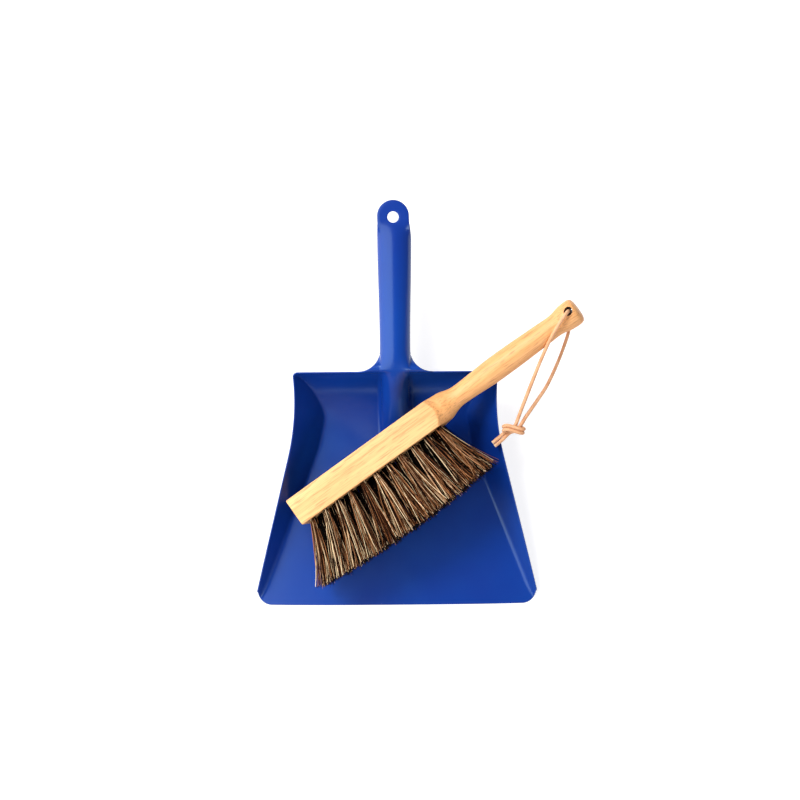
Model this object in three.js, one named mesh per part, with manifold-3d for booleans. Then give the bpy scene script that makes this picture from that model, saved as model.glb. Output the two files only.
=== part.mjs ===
// Child-size dustpan with its hand brush, in millimetres, +Z up.
//
// The pan is one pressed sheet of steel: a flat floor, side walls that lean out, a back wall that is the
// floor curved up, and a rolled handle whose top runs on down the back wall as a stiffening rib. The brush
// lies on its side in the pan: a beech stock with three rows of horsehair tufts, each tuft held at the
// bottom of its hole by a wire anchor, and a leather thong knotted through the hole in the handle's end.
//
// Frame: the pan stands on z = 0, +Y runs towards the pan's handle, and X = 0 is its plane of symmetry.
// The brush has its own frame: x along the bristles, y along the handle and z through its depth.

import * as THREE from 'three';
import { mergeVertices } from 'three/addons/utils/BufferGeometryUtils.js';
import Module from 'manifold-3d';

const wasm = await Module();
wasm.setup();

const rad = THREE.MathUtils.degToRad;
const lerp = THREE.MathUtils.lerp;
const smoothstep = THREE.MathUtils.smoothstep;

// ---- driving dimensions --------------------------------------------------------------------------------

const GAP = 0.3; // clearance left between pieces that touch

const PAN = {
  sheet: 0.9, // thickness of the coated steel
  frontY: -80,
  backY: 80.6, // top edge of the back wall
  bendY: 33.5, // where the floor starts to curve up
  bendRadius: 48,
  frontHalf: 99.2, // half-width over the rim at the front edge
  rimSlope: 0.2455, // narrowing of the rim per mm towards the back
  rimCurveY: 22, // the rim is straight in front of here
  rimNarrowY: 62, // and narrowest here
  wallLean: rad(31), // lean of the side walls from upright
  foldReach: 2.2, // reach of the rounded fold between floor and wall
  frontCorner: 8.5,
  backCorner: 2.5,
};

// Half-width of the fold between floor and side wall, [y, half-width].
const FOLD = [
  [-80, 98.2], [-70, 92.7], [-43, 80.4], [0, 64.4], [27, 54.3], [38, 51.6], [49, 49.6],
  [55, 50.4], [61, 52.9], [67, 56.2], [74, 61.4], [80.6, 69.2],
];

// Ridge of the rib and top of the handle, [y, z].
const RIDGE = [
  [20, 0.45], [30, 2.4], [45, 11], [60, 24.5], [72, 36], [80.6, 42.8], [88, 46.2], [96, 47.3],
  [150, 50], [200, 52.5],
];

const HANDLE = {
  ribHalf: 9.6, // half-width of the rib
  rootRadius: 14, // fillet, in plan, between the handle and the back wall's edge
  rootHalf: 10.3,
  endHalf: 11.5,
  depth: 8.2, // half-height of the rolled section
  flattenY: 170, // the roll starts to flatten here
  earsY: 177.6, // and its curled edges end here
  flatY: 184,
  tongueHalf: 10.9,
  tongueY: 186.3, // centre of the round end
  holeY: 186,
  holeRadius: 4.05,
};

const BRUSH = {
  blockEnd: new THREE.Vector3(-68.2, -15.1, 24.9), // centre of the block's end, in the pan's frame
  heading: rad(35.5), // from +X towards +Y
  pitch: rad(8), // handle end raised on the pan's rear corner
  roll: rad(6), // bristles tipped up
};

const STOCK = {
  lowX: -9.6, // the block's back
  highX: 10.4, // the face that the bristles stand in
  depth: 26,
  length: 239.2,
  hangY: 233.5,
  hangX: -2,
  hangRadius: 2.85,
};

// Turned outline of the stock, [y, radius]; the block's flat sides are planed off it.
const TURNED = [
  [113, 17.5], [115.8, 16.6], [118, 15.1], [119.9, 13.2], [123, 11.3], [127.2, 10], [131.5, 8.4],
  [136, 7.4], [140.4, 7.2], [152, 7.7], [167, 8.5], [184, 8.5], [200, 8.1], [211, 7.8], [217, 7.55],
  [222, 7.9], [227.5, 9.1], [233, 9.6], [236, 9.4], [238, 8.5],
];

const TUFT = {
  rows: [
    { name: 'upper', depth: 8, count: 11, tipDepth: 14 },
    { name: 'middle', depth: 0, count: 10, tipDepth: 0 },
    { name: 'lower', depth: -8, count: 11, tipDepth: -14 },
  ],
  firstY: 7.8,
  pitch: 10.7,
  holeRadius: 2.7,
  holeDepth: 12,
  radius: 2.3,
  tipX: 52.5, // reach of the outermost tufts
  tipBulge: 3.8, // how much further the middle tufts reach
  tipFirstY: -9.4,
  tipPitch: 13.5,
  tipHalfDepth: 6.85,
  sides: 10,
};

const ANCHOR = { height: 1.4, wire: 0.8, length: 4.6 };

const THONG = { radius: 1.25, sides: 8, steps: 56 };

// The thong's middle, from the knot up the front strand, down through the hanging hole and back below.
const THONG_LOOP = [
  [81.5, 42.6, 36.2], [82.9, 45.2, 36.6], [86.5, 55.3, 38.8], [91.9, 69.3, 43.4], [98, 84.9, 50.3],
  [102.6, 96.6, 57.6], [107.5, 104.4, 64.6], [110.8, 110.2, 67.3], [113.3, 114.8, 68.9],
  [115.4, 118.3, 69.3], [117.1, 120.4, 67], [118, 120.8, 62.6], [118.9, 120.8, 57.2],
  [119.9, 120.7, 51.8], [120.6, 120.4, 47.7], [120.7, 118.3, 45], [119.9, 113.9, 44.1],
  [118.6, 107.2, 42.8], [116.2, 99.2, 40.4], [111.1, 85.8, 36.6], [104.1, 70.9, 33.9], [96.9, 60, 33.2],
  [89.5, 49.5, 34.1], [86.6, 44.7, 34.9], [85.5, 42.2, 35.2],
];

const KNOT = {
  centre: [81, 41, 35.4],
  half: [8, 4, 4.3],
  turn: rad(-4),
};

const THONG_TAILS = [
  [[77, 40.8, 35.6], [72.2, 36.4, 34.2], [66.2, 31.5, 34.3]],
  [[78.4, 38.1, 35.2], [73.9, 33.7, 33.8], [68, 28.9, 33.9]],
];

// ---- materials -----------------------------------------------------------------------------------------

const finish = (color, roughness, metalness) =>
  new THREE.MeshStandardMaterial({ color, roughness, metalness });

const enamel = () => finish(0x12349c, 0.22, 0.0);
const beech = () => finish(0xe9c488, 0.6, 0.0);
const horsehair = () => finish(0x4a372a, 0.75, 0.0);
const wire = () => finish(0x9a9a98, 0.4, 0.9);
const leather = () => finish(0xdba67a, 0.65, 0.0);

// ---- geometry helpers ----------------------------------------------------------------------------------

// Smooth curve y(x) through [x, y] points, which keeps its end values beyond them.
function through(points, x) {
  const last = points.length - 1;
  const slope = (i) => {
    const low = points[Math.max(i - 1, 0)];
    const high = points[Math.min(i + 1, last)];
    return (high[1] - low[1]) / (high[0] - low[0]);
  };
  let i = 0;
  while (i < last - 1 && x > points[i + 1][0]) i += 1;
  const [x0, y0] = points[i];
  const [x1, y1] = points[i + 1];
  const h = x1 - x0;
  const t = THREE.MathUtils.clamp((x - x0) / h, 0, 1);
  const bend = t * (1 - t);
  return lerp(y0, y1, t) + bend * ((1 - t) * (slope(i) * h - (y1 - y0)) - t * (slope(i + 1) * h - (y1 - y0)));
}

function closedGeometry(positions, indices) {
  const geometry = new THREE.BufferGeometry();
  geometry.setAttribute('position', new THREE.Float32BufferAttribute(positions, 3));
  geometry.setIndex(indices);
  geometry.computeVertexNormals();
  return geometry;
}

function toSolid(geometry) {
  const bare = geometry.clone();
  bare.deleteAttribute('normal');
  bare.deleteAttribute('uv');
  const merged = mergeVertices(bare, 1e-4);
  return new wasm.Manifold(new wasm.Mesh({
    numProp: 3,
    vertProperties: new Float32Array(merged.attributes.position.array),
    triVerts: new Uint32Array(merged.index.array),
  }));
}

function toGeometry(solid) {
  const mesh = solid.getMesh();
  return closedGeometry(Array.from(mesh.vertProperties), Array.from(mesh.triVerts));
}

// Gives a sheet its thickness. rows[r][c] is a point of the middle surface or null where there is no
// sheet; rows run along +Y and columns along +X.
function thickSheet(rows, thickness) {
  const points = [];
  const ids = rows.map((row) => row.map((point) => (point ? points.push(point) - 1 : null)));
  const triangles = [];
  const middle = (rows[0].length - 1) / 2;
  for (let r = 0; r < rows.length - 1; r += 1) {
    for (let c = 0; c < rows[0].length - 1; c += 1) {
      const [a, b, d, e] = [ids[r][c], ids[r][c + 1], ids[r + 1][c + 1], ids[r + 1][c]];
      if ([a, b, d, e].includes(null)) continue;
      if (c < middle) triangles.push([a, b, d], [a, d, e]);
      else triangles.push([a, b, e], [b, d, e]);
    }
  }
  const normals = points.map(() => new THREE.Vector3());
  for (const [a, b, c] of triangles) {
    const normal = points[b].clone().sub(points[a]).cross(points[c].clone().sub(points[a]));
    for (const i of [a, b, c]) normals[i].add(normal);
  }
  const count = points.length;
  const positions = [];
  for (const side of [0.5, -0.5]) {
    points.forEach((point, i) => {
      positions.push(...point.clone().addScaledVector(normals[i].clone().normalize(), side * thickness));
    });
  }
  const edges = new Set(triangles.flatMap(([a, b, c]) => [`${a},${b}`, `${b},${c}`, `${c},${a}`]));
  const indices = [];
  for (const [a, b, c] of triangles) {
    indices.push(a, b, c, a + count, c + count, b + count);
    for (const [p, q] of [[a, b], [b, c], [c, a]]) {
      if (!edges.has(`${q},${p}`)) indices.push(q, p, p + count, q, p + count, q + count);
    }
  }
  return closedGeometry(positions, indices);
}

// Closed skin over rings of equal count, each ring turning anticlockwise about the way from first to last.
function loft(rings) {
  const sides = rings[0].length;
  const positions = rings.flat().flatMap((point) => [...point]);
  const indices = [];
  for (let r = 0; r < rings.length - 1; r += 1) {
    for (let k = 0; k < sides; k += 1) {
      const next = (k + 1) % sides;
      const [a, b] = [r * sides + k, r * sides + next];
      indices.push(a, b, b + sides, a, b + sides, a + sides);
    }
  }
  const end = (rings.length - 1) * sides;
  for (let k = 1; k < sides - 1; k += 1) {
    indices.push(0, k + 1, k, end, end + k, end + k + 1);
  }
  return closedGeometry(positions, indices);
}

function rod(points, radius, sides, steps) {
  const curve = new THREE.CatmullRomCurve3(points.map((point) => new THREE.Vector3(...point)));
  const section = new THREE.Shape();
  for (let k = 0; k < sides; k += 1) {
    const angle = (2 * Math.PI * k) / sides;
    const [x, y] = [radius * Math.cos(angle), radius * Math.sin(angle)];
    if (k === 0) section.moveTo(x, y);
    else section.lineTo(x, y);
  }
  section.closePath();
  return new THREE.ExtrudeGeometry(section, { steps, extrudePath: curve, curveSegments: 1 });
}

// Upright block with one rounded hollow corner, which trims a plan corner at (x, y) to the given radius.
// angleA and angleB are the directions of the two edges that leave the corner, with angleB the one
// reached first turning anticlockwise from angleA through the sheet.
function cornerTrimmer(x, y, angleA, angleB, radius) {
  const half = (angleB - angleA) / 2;
  const reach = radius / Math.sin(half);
  const centreX = x + reach * Math.cos(angleA + half);
  const centreY = y + reach * Math.sin(angleA + half);
  const outside = 6;
  const shape = new THREE.Shape();
  const startAngle = angleB + Math.PI / 2;
  const endAngle = angleA - Math.PI / 2 + 2 * Math.PI;
  shape.absarc(centreX, centreY, radius, startAngle, endAngle, false);
  shape.lineTo(
    centreX + (radius + outside) * Math.cos(endAngle),
    centreY + (radius + outside) * Math.sin(endAngle),
  );
  shape.lineTo(x - outside * Math.cos(angleA + half) * 2, y - outside * Math.sin(angleA + half) * 2);
  shape.lineTo(
    centreX + (radius + outside) * Math.cos(startAngle),
    centreY + (radius + outside) * Math.sin(startAngle),
  );
  shape.closePath();
  const block = new THREE.ExtrudeGeometry(shape, { depth: 70, bevelEnabled: false, curveSegments: 8 });
  return block.translate(0, 0, -10);
}

// ---- dustpan -------------------------------------------------------------------------------------------

function rimHalf(y) {
  const straight = PAN.frontHalf - PAN.rimSlope * (y - PAN.frontY);
  if (y < PAN.rimCurveY) return straight;
  const span = PAN.rimNarrowY - PAN.rimCurveY;
  const narrowest = PAN.frontHalf - PAN.rimSlope * (PAN.rimCurveY - PAN.frontY) - (PAN.rimSlope * span) / 2;
  return narrowest + (PAN.rimSlope / (2 * span)) * (y - PAN.rimNarrowY) ** 2;
}

function floorHeight(y) {
  const past = Math.max(y - PAN.bendY, 0);
  return PAN.sheet / 2 + PAN.bendRadius - Math.sqrt(PAN.bendRadius ** 2 - past ** 2);
}

// Round-topped rib with a small hollow fillet at its foot; 0 to 1 for |x| / ribHalf from the foot inwards.
const RIB_ROUND = 0.96;
const RIB_FOOT = 1.123;
function ribProfile(fraction) {
  if (fraction < RIB_ROUND) return Math.sqrt(1 - fraction ** 2);
  const foot = Math.max(RIB_FOOT - fraction, 0) / (RIB_FOOT - RIB_ROUND);
  return Math.sqrt(1 - RIB_ROUND ** 2) * foot ** 2;
}

const WING_HALF = HANDLE.rootHalf + HANDLE.rootRadius;

// Columns of the middle strip, which goes on into the handle: the place across the rib, as a fraction of
// its half-width, and the angle round the handle's rolled section.
const STRIP = [
  ...[0, 0.2, 0.4, 0.6, 0.75, 0.87, RIB_ROUND].map((across) => ({ across, angle: Math.asin(across) })),
  { across: 1.03, angle: rad(88) },
  { across: RIB_FOOT, angle: rad(102) },
  { across: 1.7, angle: rad(118) },
  { across: WING_HALF / HANDLE.ribHalf, angle: rad(135) },
];

function stripPoints(y) {
  const wall = floorHeight(Math.min(y, PAN.backY));
  const ridge = y < RIDGE[0][0] ? wall : Math.max(through(RIDGE, y), wall);
  return STRIP.map(({ across }) => ({
    x: across * HANDLE.ribHalf,
    z: wall + ribProfile(across) * (ridge - wall),
  }));
}

function handlePoints(y) {
  const top = through(RIDGE, y);
  const rootEnd = PAN.backY + HANDLE.rootRadius;
  const half = lerp(HANDLE.rootHalf, HANDLE.endHalf, smoothstep(y, rootEnd, HANDLE.earsY));
  const rolled = STRIP.map(({ angle }) => ({
    x: half * Math.sin(angle),
    z: top - HANDLE.depth * (1 - Math.cos(angle)),
  }));
  if (y < rootEnd) {
    const wall = stripPoints(y);
    const share = smoothstep(y, PAN.backY, rootEnd);
    const blended = rolled.map((point, i) => ({
      x: lerp(wall[i].x, point.x, share),
      z: lerp(wall[i].z, point.z, share),
    }));
    const widest = Math.max(...blended.map((point) => point.x));
    const outline = WING_HALF - Math.sqrt(HANDLE.rootRadius ** 2 - (rootEnd - y) ** 2);
    return blended.map((point) => ({ x: (point.x * outline) / widest, z: point.z }));
  }
  const flat = smoothstep(y, HANDLE.flattenY, HANDLE.flatY);
  const lift = (point, i) => {
    const reach = Math.min(STRIP[i].angle / Math.asin(RIB_ROUND), 1);
    const curl = Math.max(1 - Math.max(STRIP[i].angle - Math.asin(RIB_ROUND), 0) / rad(45), 0);
    return {
      x: lerp(point.x, reach < 1 || curl === 1 ? HANDLE.tongueHalf * reach : point.x, flat),
      z: lerp(point.z, lerp(point.z, top, curl), flat),
    };
  };
  return rolled.map(lift);
}

function sidePoints(y) {
  const rim = rimHalf(y);
  const fold = Math.min(through(FOLD, y), rim - 0.8);
  const floor = floorHeight(y);
  const rise = (rim - fold) / Math.tan(PAN.wallLean);
  const reach = Math.min(PAN.foldReach, 0.45 * (rim - fold) / Math.sin(PAN.wallLean));
  const start = new THREE.Vector2(fold - reach, floor);
  const corner = new THREE.Vector2(fold, floor);
  const end = corner.clone().add(new THREE.Vector2(Math.sin(PAN.wallLean), Math.cos(PAN.wallLean))
    .multiplyScalar(reach));
  const bend = new THREE.QuadraticBezierCurve(start, corner, end).getPoints(4);
  const top = new THREE.Vector2(rim, floor + rise);
  return [
    { x: lerp(WING_HALF, start.x, 0.5), z: floor },
    ...bend.map((point) => ({ x: point.x, z: point.y })),
    { x: lerp(end.x, top.x, 0.5), z: lerp(end.y, top.y, 0.5) },
    { x: top.x, z: top.y },
  ];
}

// Whole row from left rim to right rim, or the handle's part of it with nothing on either side.
function panRow(y) {
  const inner = y <= PAN.backY ? stripPoints(y) : handlePoints(y);
  const tongue = y > HANDLE.earsY;
  const half = inner.map((point, i) => (tongue && STRIP[i].across > RIB_ROUND ? null : point));
  const outer = sidePoints(Math.min(y, PAN.backY)).map((point) => (y <= PAN.backY ? point : null));
  const right = [...half, ...outer];
  const left = right.slice(1).reverse().map((point) => point && { x: -point.x, z: point.z });
  return [...left, ...right].map((point) => point && new THREE.Vector3(point.x, y, point.z));
}

function panShell() {
  const floorRows = [PAN.frontY, -71, -60, -43, -20, 0, 14, 22, 28, PAN.bendY];
  const curveRows = [8, 17, 26, 34, 42, 50, 57, 64, 70].map((degrees) =>
    PAN.bendY + PAN.bendRadius * Math.sin(rad(degrees)));
  const rootRows = [PAN.backY, 81.3, 83, 85.5, 88.5, 91.8, PAN.backY + HANDLE.rootRadius];
  const handleRows = [98, 135, HANDLE.flattenY, 174, HANDLE.earsY, 180.8, HANDLE.flatY, 200];
  const rows = [...floorRows, ...curveRows, ...rootRows, ...handleRows].map(panRow);
  let solid = toSolid(thickSheet(rows, PAN.sheet));

  const flare = Math.atan(PAN.rimSlope);
  const backHalf = rimHalf(PAN.backY);
  const backFlare = Math.atan((PAN.rimSlope * (PAN.backY - PAN.rimNarrowY)) / (PAN.rimNarrowY - PAN.rimCurveY));
  const corners = [
    cornerTrimmer(PAN.frontHalf, PAN.frontY, rad(90) + flare, rad(180), PAN.frontCorner),
    cornerTrimmer(-PAN.frontHalf, PAN.frontY, 0, rad(90) - flare, PAN.frontCorner),
    cornerTrimmer(backHalf, PAN.backY, rad(180), rad(270) - backFlare, PAN.backCorner),
    cornerTrimmer(-backHalf, PAN.backY, rad(270) + backFlare, rad(360), PAN.backCorner),
  ];
  for (const corner of corners) solid = solid.subtract(toSolid(corner));

  const beyond = 20;
  const end = new THREE.Shape();
  end.moveTo(beyond, HANDLE.tongueY);
  end.lineTo(beyond, HANDLE.tongueY + beyond);
  end.lineTo(-beyond, HANDLE.tongueY + beyond);
  end.lineTo(-beyond, HANDLE.tongueY);
  end.lineTo(-HANDLE.tongueHalf, HANDLE.tongueY);
  end.absarc(0, HANDLE.tongueY, HANDLE.tongueHalf, Math.PI, 0, true);
  const endTrimmer = new THREE.ExtrudeGeometry(end, { depth: 80, bevelEnabled: false, curveSegments: 20 });
  const hole = new THREE.CylinderGeometry(HANDLE.holeRadius, HANDLE.holeRadius, 80, 24);
  hole.rotateX(Math.PI / 2).translate(0, HANDLE.holeY, 40);
  return toGeometry(solid.subtract(toSolid(endTrimmer)).subtract(toSolid(hole)));
}

// ---- brush, in its own frame ---------------------------------------------------------------------------

const tuftHoleBottom = STOCK.highX - TUFT.holeDepth;

// Places of one row's tufts, with the middle row set half a pitch along.
function tuftPlaces(row) {
  const shift = row.count < TUFT.rows[0].count ? 0.5 : 0;
  return Array.from({ length: row.count }, (_, i) => ({
    name: `${row.name}_${String(i + 1).padStart(2, '0')}`,
    y: TUFT.firstY + TUFT.pitch * (i + shift),
    z: row.depth,
    tipY: TUFT.tipFirstY + TUFT.tipPitch * (i + shift),
    tipX: TUFT.tipX + TUFT.tipBulge * (1 - (2 * (i + shift) / (TUFT.rows[0].count - 1) - 1) ** 2),
    tipZ: row.tipDepth,
  }));
}

function stockBody() {
  const outline = new THREE.SplineCurve(TURNED.map(([y, radius]) => new THREE.Vector2(radius, y)));
  const profile = [
    new THREE.Vector2(0, 0),
    new THREE.Vector2(TURNED[0][1], 0),
    ...outline.getPoints(26),
    new THREE.Vector2(6.5, STOCK.length - 0.4),
    new THREE.Vector2(0, STOCK.length),
  ];
  const turned = toSolid(new THREE.LatheGeometry(profile, 28));
  const blank = new THREE.BoxGeometry(STOCK.highX - STOCK.lowX, 300, STOCK.depth);
  blank.translate((STOCK.highX + STOCK.lowX) / 2, 120, 0);
  let solid = turned.intersect(toSolid(blank));

  const bore = new THREE.CylinderGeometry(TUFT.holeRadius, TUFT.holeRadius, 2 * TUFT.holeDepth, 12);
  bore.rotateZ(Math.PI / 2).translate(STOCK.highX, 0, 0);
  for (const place of TUFT.rows.flatMap(tuftPlaces)) {
    solid = solid.subtract(toSolid(bore.clone().translate(0, place.y, place.z)));
  }
  const hang = new THREE.CylinderGeometry(STOCK.hangRadius, STOCK.hangRadius, 40, 20);
  hang.rotateX(Math.PI / 2).translate(STOCK.hangX, STOCK.hangY, 0);
  return toGeometry(solid.subtract(toSolid(hang)));
}

// One bundle: round in its hole, then fanned out to a rounded rectangle at the trimmed tips.
function tuftBody(place) {
  const ring = (x, y, z, halfY, halfZ, squareness) => Array.from({ length: TUFT.sides }, (_, k) => {
    const angle = (2 * Math.PI * (k + 0.5)) / TUFT.sides;
    const shape = (value) => Math.sign(value) * Math.abs(value) ** squareness;
    return new THREE.Vector3(x, y + halfY * shape(Math.cos(angle)), z + halfZ * shape(Math.sin(angle)));
  });
  const foot = tuftHoleBottom + ANCHOR.height + 2 * GAP;
  const tipHalfY = TUFT.tipPitch / 2 - GAP / 2;
  return loft([
    ring(foot, place.y, place.z, TUFT.radius, TUFT.radius, 1),
    ring(STOCK.highX, place.y, place.z, TUFT.radius, TUFT.radius, 1),
    ring(place.tipX, place.tipY, place.tipZ, tipHalfY, TUFT.tipHalfDepth, 0.7),
  ]);
}

// Flat wire anchor that a tuft is folded over, with rounded ends.
function anchorBody(place) {
  const straight = (ANCHOR.length - ANCHOR.wire) / 2;
  const outline = new THREE.Shape();
  outline.absarc(0, straight, ANCHOR.wire / 2, 0, Math.PI, false);
  outline.absarc(0, -straight, ANCHOR.wire / 2, Math.PI, 2 * Math.PI, false);
  outline.closePath();
  const body = new THREE.ExtrudeGeometry(outline, {
    depth: ANCHOR.height,
    bevelEnabled: false,
    curveSegments: 3,
  });
  const upright = new THREE.Matrix4().makeBasis(
    new THREE.Vector3(0, 1, 0),
    new THREE.Vector3(0, 0, 1),
    new THREE.Vector3(1, 0, 0),
  );
  return body.applyMatrix4(upright).translate(tuftHoleBottom + GAP, place.y, place.z);
}

// ---- thong, in the pan's frame -------------------------------------------------------------------------

function knotBody(margin) {
  const ball = new THREE.SphereGeometry(1, 20, 12);
  ball.scale(...KNOT.half.map((half) => half + margin));
  return ball.rotateZ(KNOT.turn).translate(...KNOT.centre);
}

function thongPiece(points, steps) {
  const piece = toSolid(rod(points, THONG.radius, THONG.sides, steps));
  return toGeometry(piece.subtract(toSolid(knotBody(GAP))));
}

// ---- assembly ------------------------------------------------------------------------------------------

const group = new THREE.Group();

function add(parent, name, geometry, material) {
  const mesh = new THREE.Mesh(geometry, material);
  mesh.name = name;
  parent.add(mesh);
}

add(group, 'pan_shell', panShell(), enamel());

const brush = new THREE.Group();
const across = new THREE.Vector3(Math.sin(BRUSH.heading), -Math.cos(BRUSH.heading), 0);
const along = new THREE.Vector3(
  Math.cos(BRUSH.heading) * Math.cos(BRUSH.pitch),
  Math.sin(BRUSH.heading) * Math.cos(BRUSH.pitch),
  Math.sin(BRUSH.pitch),
);
const bristleWay = across.clone().applyAxisAngle(along, -BRUSH.roll);
const depthWay = bristleWay.clone().cross(along);
brush.quaternion.setFromRotationMatrix(new THREE.Matrix4().makeBasis(bristleWay, along, depthWay));
brush.position.copy(BRUSH.blockEnd);
group.add(brush);

add(brush, 'brush_stock', stockBody(), beech());
for (const row of TUFT.rows) {
  for (const place of tuftPlaces(row)) {
    add(brush, `tuft_${place.name}`, tuftBody(place), horsehair());
    if (row.name !== 'middle') add(brush, `anchor_${place.name}`, anchorBody(place), wire());
  }
}

add(group, 'thong_loop', thongPiece(THONG_LOOP, THONG.steps), leather());
add(group, 'thong_knot', knotBody(0), leather());
THONG_TAILS.forEach((points, i) => {
  add(group, `thong_tail_${i + 1}`, thongPiece(points, 5), leather());
});

export default group;
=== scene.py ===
"""Child-size dustpan with its hand brush: meshes, materials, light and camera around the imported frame.

Lengths are in millimetres in the pan's frame and become metres where a mesh is made. z = 0 is the surface
that the pan stands on, and +Y runs towards the pan's handle. The brush's own frame has x along the
bristles, y along the handle and z through its depth.
"""

import math

import bpy
import numpy as np
from mathutils import Matrix, Vector


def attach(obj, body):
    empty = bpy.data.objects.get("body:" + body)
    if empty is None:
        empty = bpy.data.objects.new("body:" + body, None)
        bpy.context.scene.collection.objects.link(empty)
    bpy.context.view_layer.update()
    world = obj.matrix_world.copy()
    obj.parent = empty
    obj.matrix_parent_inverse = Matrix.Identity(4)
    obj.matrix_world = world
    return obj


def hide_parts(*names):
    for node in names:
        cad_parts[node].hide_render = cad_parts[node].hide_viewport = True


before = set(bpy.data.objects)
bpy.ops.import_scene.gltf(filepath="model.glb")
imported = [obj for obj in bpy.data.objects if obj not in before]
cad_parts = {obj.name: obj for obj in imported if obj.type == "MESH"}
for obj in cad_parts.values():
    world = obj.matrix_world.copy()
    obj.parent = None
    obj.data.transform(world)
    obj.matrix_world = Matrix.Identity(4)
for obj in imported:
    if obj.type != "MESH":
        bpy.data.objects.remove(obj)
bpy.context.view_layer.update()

MM = 0.001
rad = math.radians

# ---- driving dimensions --------------------------------------------------------------------------------
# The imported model's, apart from small refinements of the pan: the bow of its front edge, the lean of its
# flat end, the hook hole's radius, the width of the rib's foot, the front half of the side walls' fold
# and the smooth line of their rim.

SHEET = 0.9  # thickness of the coated steel
HALF = SHEET / 2
FRONT_Y = -80
BACK_Y = 80.6  # top edge of the back wall
BEND_Y = 33.5  # the floor starts to curve up
BEND_RADIUS = 48
FRONT_HALF = 99.2
RIM_SLOPE = 0.2455
RIM_CURVE_Y = 22
RIM_NARROW_Y = 62
FRONT_CORNER = 9.6
FRONT_BOW = 0.9  # the front edge is this much fuller in its middle than at its corners
FRONT_BOW_LENGTH = 30
BACK_CORNER = 3
CORNER_REACH = 4.5  # width of the sheet that is lifted at the back corners

# Half-width of the fold between floor and side wall, [y, half-width].
FOLD = [
    [-80, 98.2], [-70, 93.2], [-43, 82.2], [-22, 73.7], [0, 65], [27, 54.5], [38, 51.6], [49, 49.6],
    [55, 50.4], [61, 52.9], [67, 56.2], [74, 61.4], [80.6, 69.2],
]

# Half-width of that fold's own bend, [y, half-width].
FOLD_REACH = [[-70, 3.8], [-40, 3.2], [0, 2.2], [40, 2.4]]
FOLD_SHARE = 0.45  # the bend takes up no more than this share of the side wall
WALL_LEAST = 0.8  # the side wall is at least this wide in plan

# Height of the side wall's rim, [y, z].
RIM_HEIGHT = [
    [-80, 2.1], [-70, 7.2], [-43, 16.6], [0, 25.7], [20, 29.6], [40, 33], [60, 36.1], [72, 37.8],
    [80.6, 38.9],
]

# Ridge of the rib and top of the handle, [y, z].
RIDGE = [
    [20, 0.45], [30, 2.4], [45, 11], [60, 24.5], [72, 36], [80.6, 42.8], [88, 46.2], [96, 47.3],
    [150, 50], [200, 52.5],
]

RIB_HALF = 9.6
RIB_ROUND = 0.96  # the rib is round up to this share of its half-width
RIB_FOOT = 1.28  # and its foot ends at this one
RIB_BLEND = 1.5  # rounds the start of the rib
ROOT_RADIUS = 15.2
ROOT_HALF = 10
END_HALF = 11.3
ROLL_DEPTH = 8.2
FLATTEN_Y = 170
EARS_Y = 157  # the curled edges start to taper here
EARS_END_Y = 180.8  # and have died out here
EARS_LEFT = 0.06  # to this share of their turn
FLAT_Y = 184
WIDEST_Y = 177.6
TONGUE_HALF = 10.9
TONGUE_Y = 186.8
TONGUE_LEAN = 0.7  # the flat end is a little to the left of the handle's middle
HOOK_Y = 186
HOOK_RADIUS = 3.8
WING_HALF = ROOT_HALF + ROOT_RADIUS
WING_LIFT = 3.8  # rise of the wings at the handle's root, where the back wall bends over
WING_BEND = 0.75
ROOT_END_Y = BACK_Y + ROOT_RADIUS

BLOCK_END = Vector((-68.2, -15.1, 24.9))
HEADING = rad(35.5)
PITCH = rad(8)
ROLL = rad(6)

STOCK_LOW_X = -9.6
STOCK_HIGH_X = 10.4
STOCK_DEPTH = 26
HANG_Y = 233.5
HANG_X = -2
HANG_RADIUS = 2.85
HANG_SLANT = (0.65, 0.9)  # lean of the hole between its middle and its upper mouth, along x and y

# Turned outline of the stock, [y, radius]; the block's flat sides are planed off it.
TURNED = [
    [113, 17.5], [115.8, 16.6], [118, 15.1], [119.9, 13.2], [123, 11.3], [127.2, 10], [131.5, 8.4],
    [136, 7.4], [140.4, 7.2], [152, 7.7], [167, 8.5], [184, 8.5], [200, 8.1], [211, 7.8], [217, 7.55],
    [222, 7.9], [227.5, 9.1], [233, 9.6], [236, 9.4], [237, 9.05], [237.9, 8.4], [238.45, 7.5],
    [238.8, 6.4], [239, 4.6], [239.12, 2.4],
]
STOCK_END_Y = 239.2

# Rows of tufts as (depth of the holes, number of tufts, depth of the tips).
TUFT_ROWS = {"upper": (8, 11, 14), "middle": (0, 10, 0), "lower": (-8, 11, -14)}
TUFT_FIRST_Y = 7.8
TUFT_PITCH = 10.7
TUFT_HOLE_RADIUS = 2.7
TUFT_HOLE_DEPTH = 12
TIP_X = 52.5
TIP_BULGE = 3.8
TIP_FIRST_Y = -9.4
TIP_PITCH = 13.5
TIP_HALF_DEPTH = 6.85
LONG_ROW = 11

THONG_RADIUS = 1.25
THONG_SIDES = 14

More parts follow.
